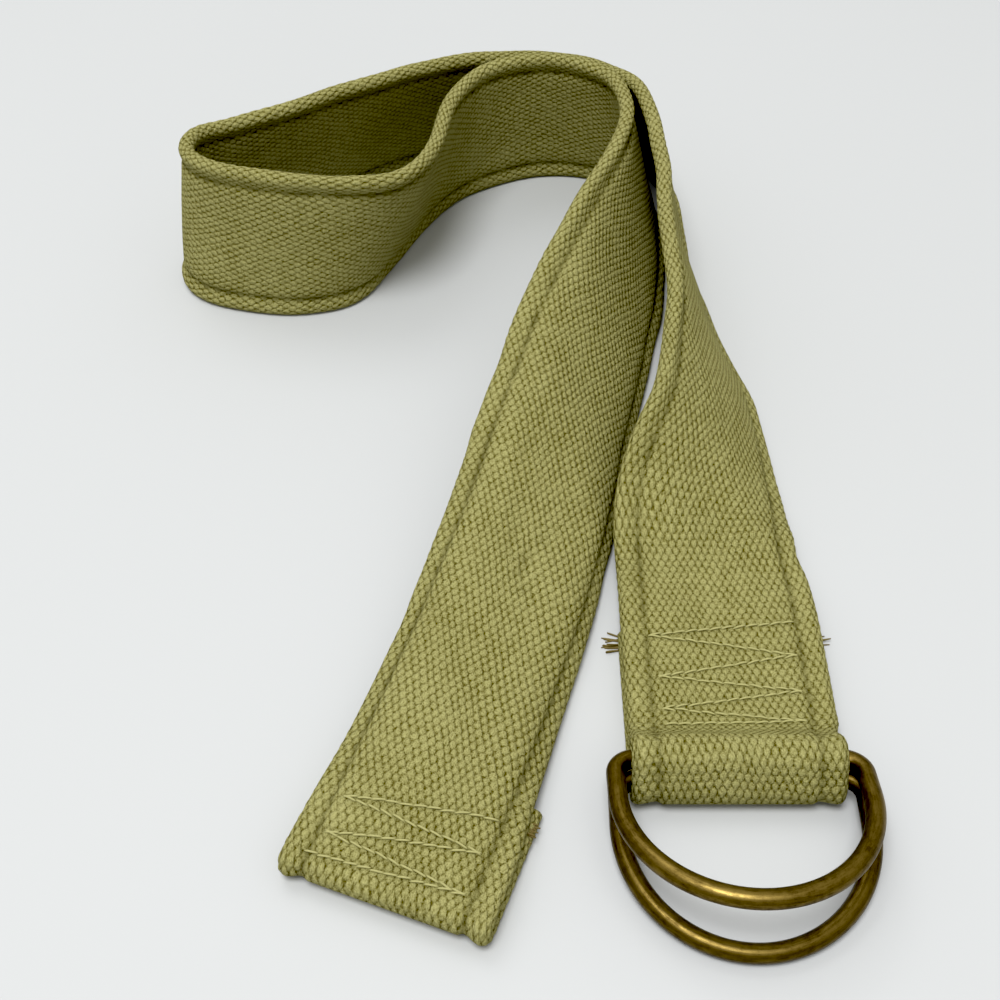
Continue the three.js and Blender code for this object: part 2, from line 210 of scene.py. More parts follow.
class Socket:
    """A socket of a shader tree that can be used in sums like a number."""

    def __init__(self, tree, socket):
        self.tree = tree
        self.socket = socket

    def put(self, target, value):
        """Link a Socket to the target, or set the target to a plain value."""
        if isinstance(value, Socket):
            self.tree.links.new(value.socket, target)
        else:
            target.default_value = value

    def node(self, kind, settings=None, out=0, **inputs):
        """Any node: its settings are set first, then its inputs by name, or by number as i6."""
        made = self.tree.nodes.new(kind)
        for name, value in (settings or {}).items():
            setattr(made, name, value)
        for name, value in inputs.items():
            numbered = name[0] == "i" and name[1:].isdigit()
            self.put(made.inputs[int(name[1:]) if numbered else name.replace("_", " ")], value)
        return Socket(self.tree, made.outputs[out])

    def maths(self, operation, *values):
        return self.node("ShaderNodeMath", {"operation": operation},
                         **{f"i{k}": value for k, value in enumerate(values)})

    def __add__(self, other):
        return self.maths("ADD", self, other)

    def __radd__(self, other):
        return self.maths("ADD", other, self)

    def __sub__(self, other):
        return self.maths("SUBTRACT", self, other)

    def __rsub__(self, other):
        return self.maths("SUBTRACT", other, self)

    def __mul__(self, other):
        return self.maths("MULTIPLY", self, other)

    def __rmul__(self, other):
        return self.maths("MULTIPLY", other, self)

    def __truediv__(self, other):
        return self.maths("DIVIDE", self, other)

    def __rtruediv__(self, other):
        return self.maths("DIVIDE", other, self)

    def sin(self):
        return self.maths("SINE", self)

    def cos(self):
        return self.maths("COSINE", self)

    def fract(self):
        return self.maths("FRACT", self)

    def floor(self):
        return self.maths("FLOOR", self)

    def smooth(self, low, high):
        """0 below low, 1 above high, smooth between."""
        return self.node("ShaderNodeMapRange", {"interpolation_type": "SMOOTHSTEP"},
                         Value=self, From_Min=low, From_Max=high)

    def mix_colour(self, a, b):
        """Colour a where this is 0, colour b where it is 1."""
        return self.node("ShaderNodeMix", {"data_type": "RGBA"}, 2, i0=self, i6=a, i7=b)

    def parts(self):
        """The x, y and z of a vector."""
        made = self.node("ShaderNodeSeparateXYZ", Vector=self).socket.node
        return [Socket(self.tree, part) for part in made.outputs]


def rgba(colour, share=1.0):
    """A colour, darkened by a share, with its alpha."""
    return tuple(share * c for c in colour) + (1.0,)


def new_material(name, **constants):
    """A material with one Principled shader, its constants, and a Socket to build its tree with."""
    material = bpy.data.materials.new(name)
    material.use_nodes = True
    tree = material.node_tree
    shader = tree.nodes["Principled BSDF"]
    for key, value in constants.items():
        shader.inputs[key.replace("_", " ")].default_value = value
    return material, shader, Socket(tree, None)


def noise(nodes, scale, detail, vector, roughness=0.5):
    return nodes.node("ShaderNodeTexNoise", Vector=vector, Scale=scale, Detail=detail,
                      Roughness=roughness)


def add_bump(nodes, shader, strength, distance, height):
    bump = nodes.node("ShaderNodeBump", Strength=strength, Distance=distance, Height=height)
    nodes.put(shader.inputs["Normal"], bump)


# The weave, in millimetres: the yarn tops' spacing and half sizes, and how they narrow
WEAVE_PITCH = 1.45
WEAVE_PERIOD = 2.85
BUMP_HALF_WIDTH = 0.66
BUMP_HALF_LENGTH = 0.98
BUMP_TAPER = 0.26
BUMP_FLOOR = -0.5
UNEVEN_ACROSS = 0.22
UNEVEN_ALONG = 0.35
YARN_TWIST = 0.12
YARN_STEP = 0.24
WEAVE_RELIEF = 0.00055
SHEEN_TINT = (0.75, 0.70, 0.40)
# Painted shade along the groove, in the creases and in the seam dents: how strong, and how dark
GROOVE_SHADE = 0.8
GROOVE_TONE = 0.4


def cotton_material(name, dark, pale):
    """Woven cotton, with painted shade between the yarn tops and along the groove, creases and seam
    dents. The pattern follows the strip: u across and v along it, in millimetres.
    """
    material, shader, nodes = new_material(
        name, Roughness=0.9, Specular_IOR_Level=0.05, Sheen_Weight=0.06, Sheen_Roughness=0.5,
        Sheen_Tint=rgba(SHEEN_TINT))
    at = nodes.node("ShaderNodeUVMap", {"uv_map": "weave"})
    u, v, _ = at.parts()
    uneven_u = u + noise(nodes, 0.8, 1.0, at) * UNEVEN_ACROSS
    uneven_v = v + noise(nodes, 1.1, 1.0, at) * UNEVEN_ALONG

    def yarn_tops(shift, seed):
        """Yarn tops on every second crossing: twisted strands, with a random step for each."""
        columns = uneven_u / WEAVE_PITCH + shift
        rows = uneven_v / WEAVE_PERIOD + shift
        y = (rows.fract() - 0.5) * (WEAVE_PERIOD / BUMP_HALF_LENGTH)
        x = (columns.fract() - 0.5) * (WEAVE_PITCH / BUMP_HALF_WIDTH) / (1.0 + y * BUMP_TAPER)
        place = nodes.node("ShaderNodeCombineXYZ", X=columns.floor(), Y=rows.floor(), Z=seed)
        step = nodes.node("ShaderNodeTexWhiteNoise", {"noise_dimensions": "3D"}, Vector=place)
        twist = (x * 3.1 + y * 3.4 + step * 6.0).sin()
        return 1.0 - x * x - y * y + twist * YARN_TWIST + step * YARN_STEP - YARN_STEP / 2

    height = nodes.maths("MAXIMUM", yarn_tops(0.0, 1.0), yarn_tops(0.5, 2.0))
    height = nodes.maths("MAXIMUM", height, BUMP_FLOOR)
    fibre = noise(nodes, 1.0, 3.0, nodes.node("ShaderNodeCombineXYZ", X=u * 4.0, Y=v * 1.7), 0.65)
    fuzz = noise(nodes, 3.6, 2.0, at, 0.6)
    broad = noise(nodes, 0.06, 2.0, at)
    streak = noise(nodes, 1.0, 2.0, nodes.node("ShaderNodeCombineXYZ", X=u * 0.7, Y=v * 0.03))

    # Lighter on the yarn tops and darker between them, which is painted shade, with the cotton's own
    # uneven tone from the fibre, fuzz, broad and streak noises
    light = height.smooth(-0.45, 0.95) * 0.72 + (fibre - 0.5) * 1.5 + (fuzz - 0.5) * 1.7 + 0.10
    light = light + (broad - 0.5) * 0.24 + (streak - 0.5) * 0.22
    colour = light.mix_colour(rgba(dark), rgba(pale))
    # The groove attribute is painted shade: along the groove beside each rim, in the creases and in
    # the seam dents
    groove = nodes.node("ShaderNodeAttribute", {"attribute_name": "groove"}, "Fac")
    colour = (groove * GROOVE_SHADE).mix_colour(colour, rgba(dark, GROOVE_TONE))
    nodes.put(shader.inputs["Base Color"], colour)
    add_bump(nodes, shader, 1.0, WEAVE_RELIEF, height * 0.75 + fibre * 0.9 + fuzz * 0.5)
    return material


def thread_material(name, colour):
    """Sewing thread: fine twisted strands."""
    material, shader, nodes = new_material(name, Roughness=0.8)
    fine = noise(nodes, 2400.0, 2.0, nodes.node("ShaderNodeTexCoord", out="Object"))
    nodes.put(shader.inputs["Base Color"], fine.mix_colour(rgba(colour, 0.7), rgba(colour)))
    add_bump(nodes, shader, 0.5, 0.0001, fine)
    return material


# Round the wire, in millimetres: the middle of the painted highlight band on the upper outer side,
# and the radius it runs round
PAINTED_GLEAM_AT = 2.0
PAINTED_GLEAM_RADIUS = 1.7


def brass_material(name, seed, painted_shade_factor, patina, metal):
    """Antique brass: dark patina with worn golden metal between, a painted highlight band along the
    upper outer side of the wire, and both colours darkened by a factor for painted shade. u runs
    round the wire and v along it, in millimetres."""
    material, shader, nodes = new_material(name, Metallic=1.0)
    u, v, _ = nodes.node("ShaderNodeUVMap", {"uv_map": "wire"}).parts()
    place = nodes.node("ShaderNodeTexCoord", out="Object")
    stroke = nodes.node("ShaderNodeCombineXYZ", X=u * 3.0, Y=v * 0.35, Z=seed)
    brushed = noise(nodes, 1.0, 3.0, stroke, 0.65)
    blotch = noise(nodes, 750.0, 4.0, place, 0.65)
    wide = noise(nodes, 90.0, 2.0, place)
    grain = noise(nodes, 5200.0, 2.0, place)
    # A painted highlight: a lighter band along the upper outer side of the wire
    painted_gleam = ((u - PAINTED_GLEAM_AT) / PAINTED_GLEAM_RADIUS).cos()
    # Real wear and the painted highlight band together decide where the golden metal shows
    worn = brushed * 0.50 + blotch * 0.40 + wide * 0.30 + grain * 0.15 + painted_gleam * 0.13
    worn = worn.smooth(0.50, 0.96)
    nodes.put(shader.inputs["Base Color"], worn.mix_colour(rgba(patina, painted_shade_factor), rgba(metal, painted_shade_factor)))
    nodes.put(shader.inputs["Roughness"], 0.46 - worn * 0.14 + grain * 0.08)
    add_bump(nodes, shader, 0.35, 0.00005, blotch * 0.6 + brushed * 0.5 + grain * 0.5)
    return material


def floor_material(name, dim, pale):
    """A matt, pale, faintly cool surface."""
    material, shader, nodes = new_material(name, Roughness=0.7, Specular_IOR_Level=0.2)
    cloud = noise(nodes, 3.0, 2.0, nodes.node("ShaderNodeTexCoord", out="Object"))
    nodes.put(shader.inputs["Base Color"], cloud.mix_colour(rgba(dim), rgba(pale)))
    return material


# The strip in millimetres: the same lay as the solid, in finer steps

PLY_GAP = 0.3
NEST_GAP = 1.1
BAR_CLEARANCE = 0.3
# The fold: its width, its shift across, the lean from bar to bar and the slope down, in degrees
FOLD_WIDTH = 37.2
FOLD_SHIFT = -0.7
FOLD_FILLET = 5.0
FOLD_SLOPE = 50
BARS_LEAN = 34
# The foot of the fold: how far past its end, over how many sections and how far it is eased
FOOT_AT = 1.0
FOOT_STEPS = 20
FOOT_REACH = 4.0
# How finely curves are cut
ARC_STEP = 4
TONGUE_STEPS = 60
TURN_STEPS = 14
ROW_STEPS = 24
BEND_STEPS = 8
FACE_STEPS = 7
RIM_ANGLES = (0, 22, 44, 66, 90)


def ease(share):
    return 0.5 - 0.5 * math.cos(math.pi * share)


def unit(vectors):
    return vectors / np.linalg.norm(vectors, axis=1)[:, None]


def spans(points):
    """At each point of a path, the step from the point before it to the point after it."""
    run = np.empty_like(points)
    run[1:-1] = points[2:] - points[:-2]
    run[0], run[-1] = points[1] - points[0], points[-1] - points[-2]
    return run


def lengths_along(points):
    """Distance along a path from its start to each of its points."""
    return np.concatenate([[0], np.cumsum(np.linalg.norm(np.diff(points, axis=0), axis=1))])


class Strip:
    """The lie of the strap and the shape of its section."""

    def __init__(self, settings, ring_wire):
        self.width = settings.width * MM
        self.half = settings.thickness * MM / 2
        self.rim = settings.rim_diameter * MM
        self.inset = settings.groove_inset * MM
        self.depth = settings.groove_depth * MM
        self.length = settings.length * MM
        self.tongue = settings.tongue * MM
        self.turn_under = settings.turn_under * MM
        self.step = settings.step * MM
        self.wire = ring_wire * MM
        self.nest = self.rim + NEST_GAP
        self.stations = self.make_stations()
        self.alongs = np.array([s["along"] for s in self.stations])
        self.frame_arrays = self.frames()

    def rim_radius(self, press):
        return self.rim / 2 + (self.half - self.rim / 2) * press

    def ply_pitch(self, press):
        """Distance from one ply's middle to the next."""
        return 2 * self.rim_radius(press) + PLY_GAP

    def lay_at(self, t):
        """Uniform cubic B-spline through the rows, for an array of t."""
        rows = np.array(LAY, float)
        rows = np.vstack([2 * rows[0] - rows[1], rows, 2 * rows[-1] - rows[-2]])
        i = np.minimum(t.astype(int), len(LAY) - 2)
        u = (t - i)[:, None]
        weights = ((1 - u) ** 3 / 6, (3 * u**3 - 6 * u**2 + 4) / 6,
                   (-3 * u**3 + 3 * u**2 + 3 * u + 1) / 6, u**3 / 6)
        return sum(w * rows[i + k] for k, w in enumerate(weights))

    def plan(self, reach):
        """The lay, and the path of the strip's middle on the surface."""
        t = np.linspace(0, len(LAY) - 1, (len(LAY) - 1) * ROW_STEPS + 1)
        lay = self.lay_at(t)
        xy = lay[:, :2] * (self.width, reach)
        run = unit(spans(xy))
        right = np.stack([run[:, 1], -run[:, 0]], 1)
        return lay, xy + right * (lay[:, LAY_COLUMNS.index("nest")] * self.nest)[:, None]

    def fold_path(self):
        """Places [y, z, within] of the fold round the bars, and the y where the strand starts."""
        lean, slope = math.radians(BARS_LEAN), math.radians(FOLD_SLOPE)
        loop = self.wire / 2 + BAR_CLEARANCE + self.half
        pitch = self.wire + BAR_CLEARANCE
        lower = (0.0, self.half + loop)
        upper = (pitch * math.sin(lean), lower[1] + pitch * math.cos(lean))
        top = self.half + self.ply_pitch(1)
        drop = upper[1] + loop * math.cos(slope) - top - FOLD_FILLET * (1 - math.cos(slope))
        start = upper[0] + (loop + FOLD_FILLET) * math.sin(slope) + drop / math.tan(slope)
        path = [(self.tongue * (1 - k / TONGUE_STEPS), self.half, 1.0)
                for k in range(TONGUE_STEPS)]

        def arc(centre, radius, low, high, leaves=False):
            steps = max(8, int(abs(high - low) / ARC_STEP))
            for k in range(steps + 1):
                a = math.radians(low + (high - low) * k / steps)
                path.append((centre[0] + radius * math.cos(a), centre[1] + radius * math.sin(a),
                             1 - k / steps if leaves else 1.0))

        arc(lower, loop, 270, 180 - BARS_LEAN)
        arc(upper, loop, 180 - BARS_LEAN, 90 - FOLD_SLOPE)
        arc((start, top + FOLD_FILLET), FOLD_FILLET, 270 - FOLD_SLOPE, 270, leaves=True)
        return np.array(path), start

    def section_half(self, width, press):
        """Upper quarter outline from the edge to the middle: distance across and height."""
        radius = self.rim_radius(press)
        angles = np.radians(RIM_ANGLES)
        across = list(width / 2 - radius + radius * np.cos(angles))
        height = list(radius * np.sin(angles))
        low = self.half - self.depth
        for share in (0.35, 0.7, 1.0):
            across.append(width / 2 - (radius + (self.inset - radius) * share))
            height.append(radius + (low - radius) * ease(share))
        for share in (0.5, 1.0):
            across.append(width / 2 - self.inset - 2 * self.depth * share)
            height.append(low + self.depth * ease(share))
        inner = across[-1]
        for k in range(1, FACE_STEPS + 1):
            across.append(inner * (1 - k / FACE_STEPS))
            height.append(self.half)
        return np.array(across), np.array(height)

    def section(self, width, press, bend):
        """The whole outline, once round."""
        up = np.stack(self.section_half(width, press), 1)
        full = np.vstack([up, (up[:-1] * (-1, 1))[::-1]])
        full = np.vstack([full, (full[1:-1] * (1, -1))[::-1]])
        return self.bent(full, bend)

    def bent(self, points, bend):
        """Points of a flat section, with its edges drooping by bend degrees."""
        half = self.width / 2
        share = np.abs(points[:, 0]) / half
        radians = math.radians(bend)
        middle = share[:, None] * (np.arange(BEND_STEPS) + 0.5) / BEND_STEPS
        angle = radians * middle**3
        along = (np.cos(angle).mean(1)) * share * half
        down = (np.sin(angle).mean(1)) * share * half
        tilt = radians * share**3
        return np.stack([np.sign(points[:, 0]) * (along + points[:, 1] * np.sin(tilt)),
                         points[:, 1] * np.cos(tilt) - down], 1)

    def make_stations(self):
        """Every section's place, direction across and shape, from the tongue to the tail's ply."""
        path, self.start = self.fold_path()
        within = path[:, 2]
        places = np.stack([FOLD_SHIFT * within, path[:, 0] - self.start, path[:, 1]], 1)
        widths = self.width + (FOLD_WIDTH - self.width) * within
        lengths = lengths_along(places)
        self.fold_length = lengths[-1]
        last_row = dict(zip(LAY_COLUMNS, self.lay_at(np.array([len(LAY) - 1.0]))[0]))
        radius = self.ply_pitch(last_row["press"]) / 2
        strand = self.length - self.fold_length - self.turn_under - math.pi * radius
        if strand <= 0:
            raise ValueError("the strap is too short for its fold and its turned end")
        low, high = strand / 8, strand
        for _ in range(40):
            middle = (low + high) / 2
            xy = self.plan(middle)[1]
            if np.linalg.norm(np.diff(xy, axis=0), axis=1).sum() > strand:
                high = middle
            else:
                low = middle
        lay, xy = self.plan(low)
        s = lengths_along(xy)
        self.strand_length = s[-1]

        def spot(d):
            return np.array([np.interp(d, s, xy[:, 0]), np.interp(d, s, xy[:, 1])])

        stations = []
        count = int(self.fold_length / self.step)
        for d in np.linspace(0, self.fold_length, count, endpoint=False):
            k = min(np.searchsorted(lengths, d, "right") - 1, len(path) - 2)
            share = (d - lengths[k]) / max(lengths[k + 1] - lengths[k], 1e-9)
            stations.append(dict(place=places[k] * (1 - share) + places[k + 1] * share,
                                 across=np.array([-1.0, 0, 0]),
                                 width=widths[k] * (1 - share) + widths[k + 1] * share,
                                 press=1.0, bend=0.0, along=d))
        for d in np.linspace(0, s[-1], int(strand / self.step)):
            row = dict(zip(LAY_COLUMNS, (np.interp(d, s, column) for column in lay.T)))
            run = spot(min(d + 1, s[-1])) - spot(max(d - 1, 0))
            run = np.append(run / np.linalg.norm(run), 0)
            left = np.cross((0, 0, 1), run)
            roll, press = math.radians(row["roll"]), row["press"]
            across = left * math.cos(roll) + np.array([0, 0, math.sin(roll)])
            out = np.cross(run, across)
            bend = row["droop"] * (1 if math.cos(roll) >= 0 else -1)
            outline = self.section(self.width, press, bend)
            lowest = (outline[:, 0] * across[2] + outline[:, 1] * out[2]).min()
            z = row["ply"] * self.ply_pitch(press) - lowest
            stations.append(dict(place=np.append(spot(d), z), across=across, width=self.width,
                                 press=press, bend=bend, along=self.fold_length + d))
        end = stations[-1]
        heading = end["place"] - stations[-4]["place"]
        heading[2] = 0
        heading /= np.linalg.norm(heading)
        for k in range(1, TURN_STEPS + 1):
            a = math.pi * k / TURN_STEPS
            stations.append(dict(
                end, place=end["place"] + heading * radius * math.sin(a)
                + np.array([0, 0, radius * (math.cos(a) - 1)]),
                bend=end["bend"] * math.cos(a), along=end["along"] + radius * a))
        under = stations[-1]
        count = int(self.turn_under / self.step)
        for k in range(1, count + 1):
            back = self.turn_under * k / count
            stations.append(dict(under, place=under["place"] - heading * back,
                                 along=under["along"] + back))
        self.ease_foot(stations)
        return stations

    def ease_foot(self, stations):
        """The strap comes down off the fold in a soft curve, with no sharp bend at its foot."""
        height = np.array([s["place"][2] for s in stations])
        reach = np.arange(-FOOT_STEPS, FOOT_STEPS + 1)
        kernel = np.exp(-(reach * self.step / FOOT_REACH) ** 2)
        padded = np.pad(height, FOOT_STEPS, mode="edge")
        eased = np.convolve(padded, kernel / kernel.sum(), "valid")
        for station, low, soft in zip(stations, height, eased):
            if abs(station["along"] - self.fold_length - FOOT_AT) < 2.5 * FOOT_REACH:
                station["place"] = np.append(station["place"][:2], max(low, soft))

    def frames(self):
        """Places and unit directions along, across and out of the face, a row for each section."""
        places = np.array([s["place"] for s in self.stations])
        run = spans(places)
        run[self.alongs < self.fold_length + FOOT_AT, 0] = 0.0
        run = unit(run)
        across = np.array([s["across"] for s in self.stations])
        across = unit(across - run * (across * run).sum(1)[:, None])
        return places, run, across, np.cross(run, across)


def surface_point(strip, along, across, face, lift):
    """A point on the strip's face (1 or -1), lift above it, from its place along and across."""
    places, _, over, out = strip.frame_arrays
    alongs = strip.alongs
    k = int(np.clip(np.searchsorted(alongs, along), 1, len(alongs) - 1))
    share = (along - alongs[k - 1]) / max(alongs[k] - alongs[k - 1], 1e-9)
    station = strip.stations[k]
    point = strip.bent(np.array([[across, face * (strip.half + lift)]]), station["bend"])[0]
    place = places[k - 1] * (1 - share) + places[k] * share
    return place + over[k] * point[0] + out[k] * point[1]


def weave_place(u, v, around):
    """Where a point of the strip falls in the weave: hand-woven drift of rows and columns."""
    turn = 2 * math.pi * u / around
    column = u + 0.30 * np.sin(0.043 * v + np.sin(3 * turn)) + 0.16 * np.sin(0.23 * v + 5 * turn)
    row = v + 0.55 * np.sin(2 * turn + 0.05 * v) + 0.22 * np.sin(7 * turn - 0.11 * v)
    return column, row


def bumps(u, v):
    """Height of the yarn tops, the same pattern as the material's, for relief in the mesh."""
    tops = []
    for shift in (0.0, 0.5):
        y = ((v / WEAVE_PERIOD + shift) % 1 - 0.5) * WEAVE_PERIOD / BUMP_HALF_LENGTH
        x = ((u / WEAVE_PITCH + shift) % 1 - 0.5) * WEAVE_PITCH / BUMP_HALF_WIDTH
        tops.append(1 - (x / (1 + y * BUMP_TAPER)) ** 2 - y**2)
    return np.maximum(np.maximum(*tops), BUMP_FLOOR)


def seam_distance(across, along, corners):
    """Distance of every point from a zigzag seam."""
    nearest = np.full(np.broadcast(across, along).shape, 1e3)
    for (u0, v0), (u1, v1) in zip(corners, corners[1:]):
        run = np.array([u1 - u0, v1 - v0])
        share = ((across - u0) * run[0] + (along - v0) * run[1]) / (run @ run)
        share = np.clip(share, 0, 1)
        gap = np.hypot(across - u0 - share * run[0], along - v0 - share * run[1])
        nearest = np.minimum(nearest, gap)
    return nearest


def mesh_object(name, points, faces, material, uvs=None, values=None, smooth=True,
                layer_name="weave"):
    """A mesh in the scene, with a place in its pattern for every corner of every face."""
    mesh = bpy.data.meshes.new(name)
    mesh.from_pydata([tuple(p) for p in points], [], faces)
    mesh.validate()
    if uvs is not None:
        layer = mesh.uv_layers.new(name=layer_name)
        flat = np.array([corner for face in uvs for corner in face])
        layer.data.foreach_set("uv", flat.astype(np.float32).ravel())
    for key, data in (values or {}).items():
        mesh.attributes.new(key, "FLOAT", "POINT").data.foreach_set("value", data)
    if smooth:
        mesh.polygons.foreach_set("use_smooth", [True] * len(mesh.polygons))
    mesh.materials.append(material)
    made = bpy.data.objects.new(name, mesh)
    bpy.context.scene.collection.objects.link(made)
    return made


def to_row(points):
    """From the strip's own millimetres to metres in the part's frame."""
    return (np.asarray(points) + to_row.shift) / MM


# How far the lower ring sits to the left of the strand's middle, in millimetres
LOWER_RING_ASIDE = 0.15


def strip_now(context):
    """The strip, worked out once and kept for the pieces that lie on it."""
    if not hasattr(strip_now, "made"):
        strip = Strip(context.scene.belt_webbing, context.scene.belt_rings.wire)
        joints = {j["name"]: j["pos_m"] for j in frame["joints"]}
        lower = joints["lower_ring_swing"]
        to_row.shift = np.array([lower[0] * MM + LOWER_RING_ASIDE, lower[1] * MM + strip.start, 0])
        strip_now.made = strip
    return strip_now.made


# Soft creases: along the strap in millimetres back from the tail, across, run, slant, depth.
# Depth is inwards from the side that shows; creases that go inwards also get painted shade.
TAIL_CREASES = (
    (75.5, -4.7, 6.0, 0.08, 0.42),
    (70.0, 0.5, 6.5, -0.24, 0.40),
    (63.0, 1.2, 4.0, 0.60, 0.30),
    (92.0, -7.5, 7.0, -0.12, 0.22),
    (52.0, 7.0, 12.0, 0.10, -0.18),
)
# Dents in the edges: millimetres from the start of the strand, edge (1 or -1), reach, depth
EDGE_DENTS = (
    (38.5, -1, 3.0, 0.75), (80.0, -1, 3.5, 0.6), (57.0, -1, 5.0, -0.35), (66.0, 1, 5.0, 0.5),
    (118.0, 1, 4.0, 0.4), (300.0, 1, 5.0, -0.4), (352.0, 1, 4.0, 0.4), (548.0, 1, 6.0, 0.4),
    (566.0, 1, 4.0, -0.3), (584.0, -1, 4.0, 0.4), (612.0, 1, 5.0, 0.4),
)
# Shallow ripples of the cloth, and the half width at which those of the edges are full
LONG_RIPPLE = 0.16
EDGE_RIPPLE = 0.12
EDGE_RIPPLE_AT = 19
# Relief of the yarns on the rims, and the pull of the seams on the cloth: width, depth, painted shade
RIM_RELIEF = 0.16
SEAM_WIDTH = 0.75
SEAM_DENT = 0.20
SEAM_SHADE = 0.25
SEAM_SPAN = (-4, 27)
FLOOR_GAP = 0.02
DRIFT_KNOTS = 110
PAINTED_PUCKER_SHADE_KNOTS = 330


def surface_detail(strip, across, along):
    """How far the cloth is moved out of its face, into its edge, and the painted shade in its folds.
    """
    strand = along - strip.fold_length
    back = strip.fold_length + strip.strand_length - along
    free = np.clip((strand - 12) / 25, 0, 1) * np.clip((back - 30) / 15, 0, 1)
    edge_wave = np.sin(strand / 3.1 - across * 0.23 + 1.7)
    out = free * (LONG_RIPPLE * np.sin(strand / 5.3 + across * 0.11)
                  + EDGE_RIPPLE * edge_wave * np.abs(across) / EDGE_RIPPLE_AT)
    shade = np.zeros_like(out)
    for at, side, reach, slant, depth in TAIL_CREASES:
        ahead = back - at
        gap = across + side - slant * ahead
        fade = np.exp(-(ahead / reach) ** 2)
        line = np.exp(-(gap / 1.1) ** 2) - 0.6 * np.exp(-((gap - 2.6) / 1.9) ** 2)
        out = out + depth * fade * line
        # Painted shade along the creases that go inwards
        shade = shade + max(depth, 0) * 0.9 * fade * np.exp(-(gap / 0.8) ** 2)
    inward = np.zeros_like(out)
    for at, side, reach, depth in EDGE_DENTS:
        near = np.clip((across * side - 9) / 10, 0, 1) ** 2
        inward = inward + depth * near * side * np.exp(-((strand - at) / reach) ** 2)
    return out, inward, shade


class BELT_OT_webbing(bpy.types.Operator):
    """Build the woven strap in place of its plain solid"""

    bl_idname = "belt.webbing"
    bl_label = "Build Webbing"

    def execute(self, context):
        strip = strip_now(context)
        places, _, over, out = strip.frame_arrays
        reference = strip.section(strip.width, 0.0, 0.0)
        u = lengths_along(np.vstack([reference, reference[:1]]))
        around = u[-1]
        u *= round(around / WEAVE_PITCH) * WEAVE_PITCH / around
        around = u[-1]
        sides = len(reference)
        edge = strip.width / 2 - np.abs(reference[:, 0])
        on_rim = np.clip(1 - edge / (strip.rim * 0.75), 0, 1) ** 0.5
        # Painted shade along the groove beside each rim
        groove = np.exp(-((edge - strip.inset) / 0.6) ** 2)
        face = np.sign(reference[:, 1])
        end = strip.fold_length + strip.strand_length
        rng = np.random.default_rng(7)
        drift = np.interp(strip.alongs, np.linspace(0, strip.alongs[-1], DRIFT_KNOTS),
                          rng.normal(0, 0.10, DRIFT_KNOTS))
        # Uneven painted shade along the groove, in spots as if puckered
        painted_pucker_shade = np.interp(strip.alongs, np.linspace(0, strip.alongs[-1], PAINTED_PUCKER_SHADE_KNOTS),
                           rng.uniform(0.35, 1.0, PAINTED_PUCKER_SHADE_KNOTS))
        points, painted_shade_rows, weave = [], [], []
        for i, station in enumerate(strip.stations):
            along = strip.alongs[i]
            flat = strip.section(station["width"], station["press"], 0.0)
            outline = strip.section(station["width"], station["press"], station["bend"])
            after = np.roll(outline, -1, 0) - np.roll(outline, 1, 0)
            normal = unit(np.stack([after[:, 1], -after[:, 0]], 1))
            column, row = weave_place(u[:-1], along, around)
            weave.append(np.stack([column, row], 1))
            lift = (bumps(column, row) - 0.3) * RIM_RELIEF * on_rim + drift[i] * 0.5 * on_rim
            moved, inward, shade = surface_detail(strip, flat[:, 0], along)
            # All the painted shade of the cloth: the groove's, weaker where the cloth is pressed
            # flat, and the creases'
            dark = groove * (0.95 - 0.25 * station["press"]) * painted_pucker_shade[i] + shade
            for corners, v, side in ((RING_END_SEAM, along - strip.fold_length, 1),
                                     (TAIL_END_SEAM, end - along, -1)):
                if SEAM_SPAN[0] < v < SEAM_SPAN[1] and along < end + 1:
                    # The seams pull dents into the cloth, with painted shade in them
                    seam = np.exp(-(seam_distance(-flat[:, 0], v, corners) / SEAM_WIDTH) ** 2)
                    seam = seam * (face == side)
                    lift = lift - SEAM_DENT * seam
                    dark = dark + SEAM_SHADE * seam
            outline = outline + normal * lift[:, None]
            outline[:, 0] -= inward
            outline[:, 1] += moved
            points.append(places[i] + over[i] * outline[:, :1] + out[i] * outline[:, 1:])
            painted_shade_rows.append(np.clip(dark, 0, 1))
        count = len(points)
        faces, uvs = [], []
        closing, _ = weave_place(around, strip.alongs, around)
        for i in range(count - 1):
            for k in range(sides):
                n = (k + 1) % sides
                faces.append((i * sides + k, i * sides + n, (i + 1) * sides + n,
                              (i + 1) * sides + k))
                a, b, c, d = weave[i][k], weave[i][n], weave[i + 1][n], weave[i + 1][k]
                if n == 0:
                    b, c = (closing[i], b[1]), (closing[i + 1], c[1])
                uvs.append((a, b, c, d))
        faces.append(tuple(range(sides))[::-1])
        uvs.append([tuple(weave[0][k]) for k in range(sides)][::-1])
        last = (count - 1) * sides
        faces.append(tuple(last + k for k in range(sides)))
        uvs.append([tuple(weave[-1][k]) for k in range(sides)])
        points = np.concatenate(points)
        points[:, 2] = np.maximum(points[:, 2], FLOOR_GAP)
        settings = context.scene.belt_webbing
        cotton = cotton_material("khaki_webbing", settings.dark, settings.pale)
        # The groove attribute carries the painted shade of the cloth
        made = mesh_object("woven_strap", to_row(points), faces, cotton, uvs,
                           {"groove": np.concatenate(painted_shade_rows)})
        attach(made, "webbing")
        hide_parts("webbing")
        return {"FINISHED"}


# Stitches, in millimetres: the length of one, how it rises, sinks and slants, and its thickness
STITCH = 2.35
STITCH_RISE = 0.30
STITCH_SINK = 0.22
STITCH_SLANT = (0.13, -0.13)
THREAD_RADIUS = 0.20
STITCH_TAPER = (0.6, 0.9, 1, 1, 1, 1, 0.9, 0.6)
